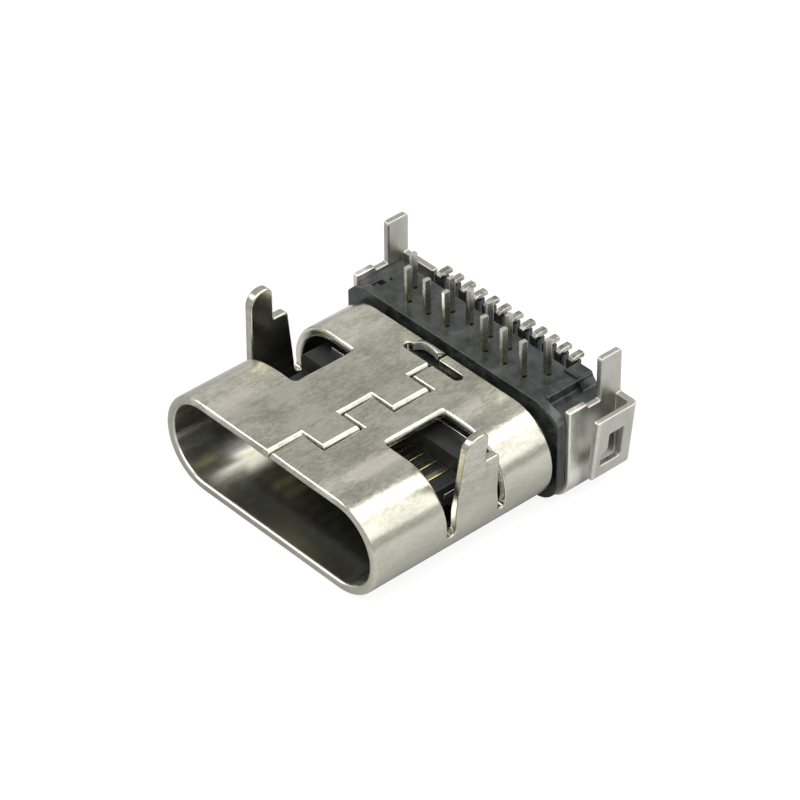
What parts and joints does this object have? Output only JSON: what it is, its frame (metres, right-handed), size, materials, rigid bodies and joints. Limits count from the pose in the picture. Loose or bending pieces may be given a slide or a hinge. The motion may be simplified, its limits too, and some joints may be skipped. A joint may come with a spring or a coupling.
{
  "type": "usb connector",
  "caption": "Reversible board receptacle with a folded metal shell, bent-up solder legs, a black moulded housing, flat solder feet and through-board pins.",
  "frame": {"origin": "middle of the mouth's edge, on the flat side of the shell that it rests on", "axes": "+X across the mouth, +Y from the mouth to the rear, +Z from the resting side to the board side, where the legs and pins point"},
  "size_m": [0.0099, 0.0094, 0.0047],
  "materials": {
    "shell": "satin tin plating with a faint mottle",
    "bracket": "satin tin plating",
    "moulding": "matte black glass-filled moulding",
    "tongue_moulding": "matte black glass-filled moulding",
    "inner_steel": "plain stainless steel",
    "feet": "tin plating over copper alloy",
    "pins": "tin plating with thin gold showing at the roots"
  },
  "bodies": {
    "root": {"front_shell": "shell", "rear_bracket": "bracket", "housing": "moulding", "tongue": "tongue_moulding", "mid_plate": "inner_steel", "ground_spring_upper": "inner_steel", "ground_spring_lower": "inner_steel", "foot_contact_01": "feet", "foot_contact_02": "feet", "foot_contact_03": "feet", "foot_contact_04": "feet", "foot_contact_05": "feet", "foot_contact_06": "feet", "foot_contact_07": "feet", "foot_contact_08": "feet", "foot_contact_09": "feet", "foot_contact_10": "feet", "foot_contact_11": "feet", "foot_contact_12": "feet", "pin_contact_01": "pins", "pin_contact_02": "pins", "pin_contact_03": "pins", "pin_contact_04": "pins", "pin_contact_05": "pins", "pin_contact_06": "pins", "pin_contact_07": "pins", "pin_contact_08": "pins", "pin_contact_09": "pins", "pin_contact_10": "pins", "pin_contact_11": "pins", "pin_contact_12": "pins"}
  },
  "joints": []
}
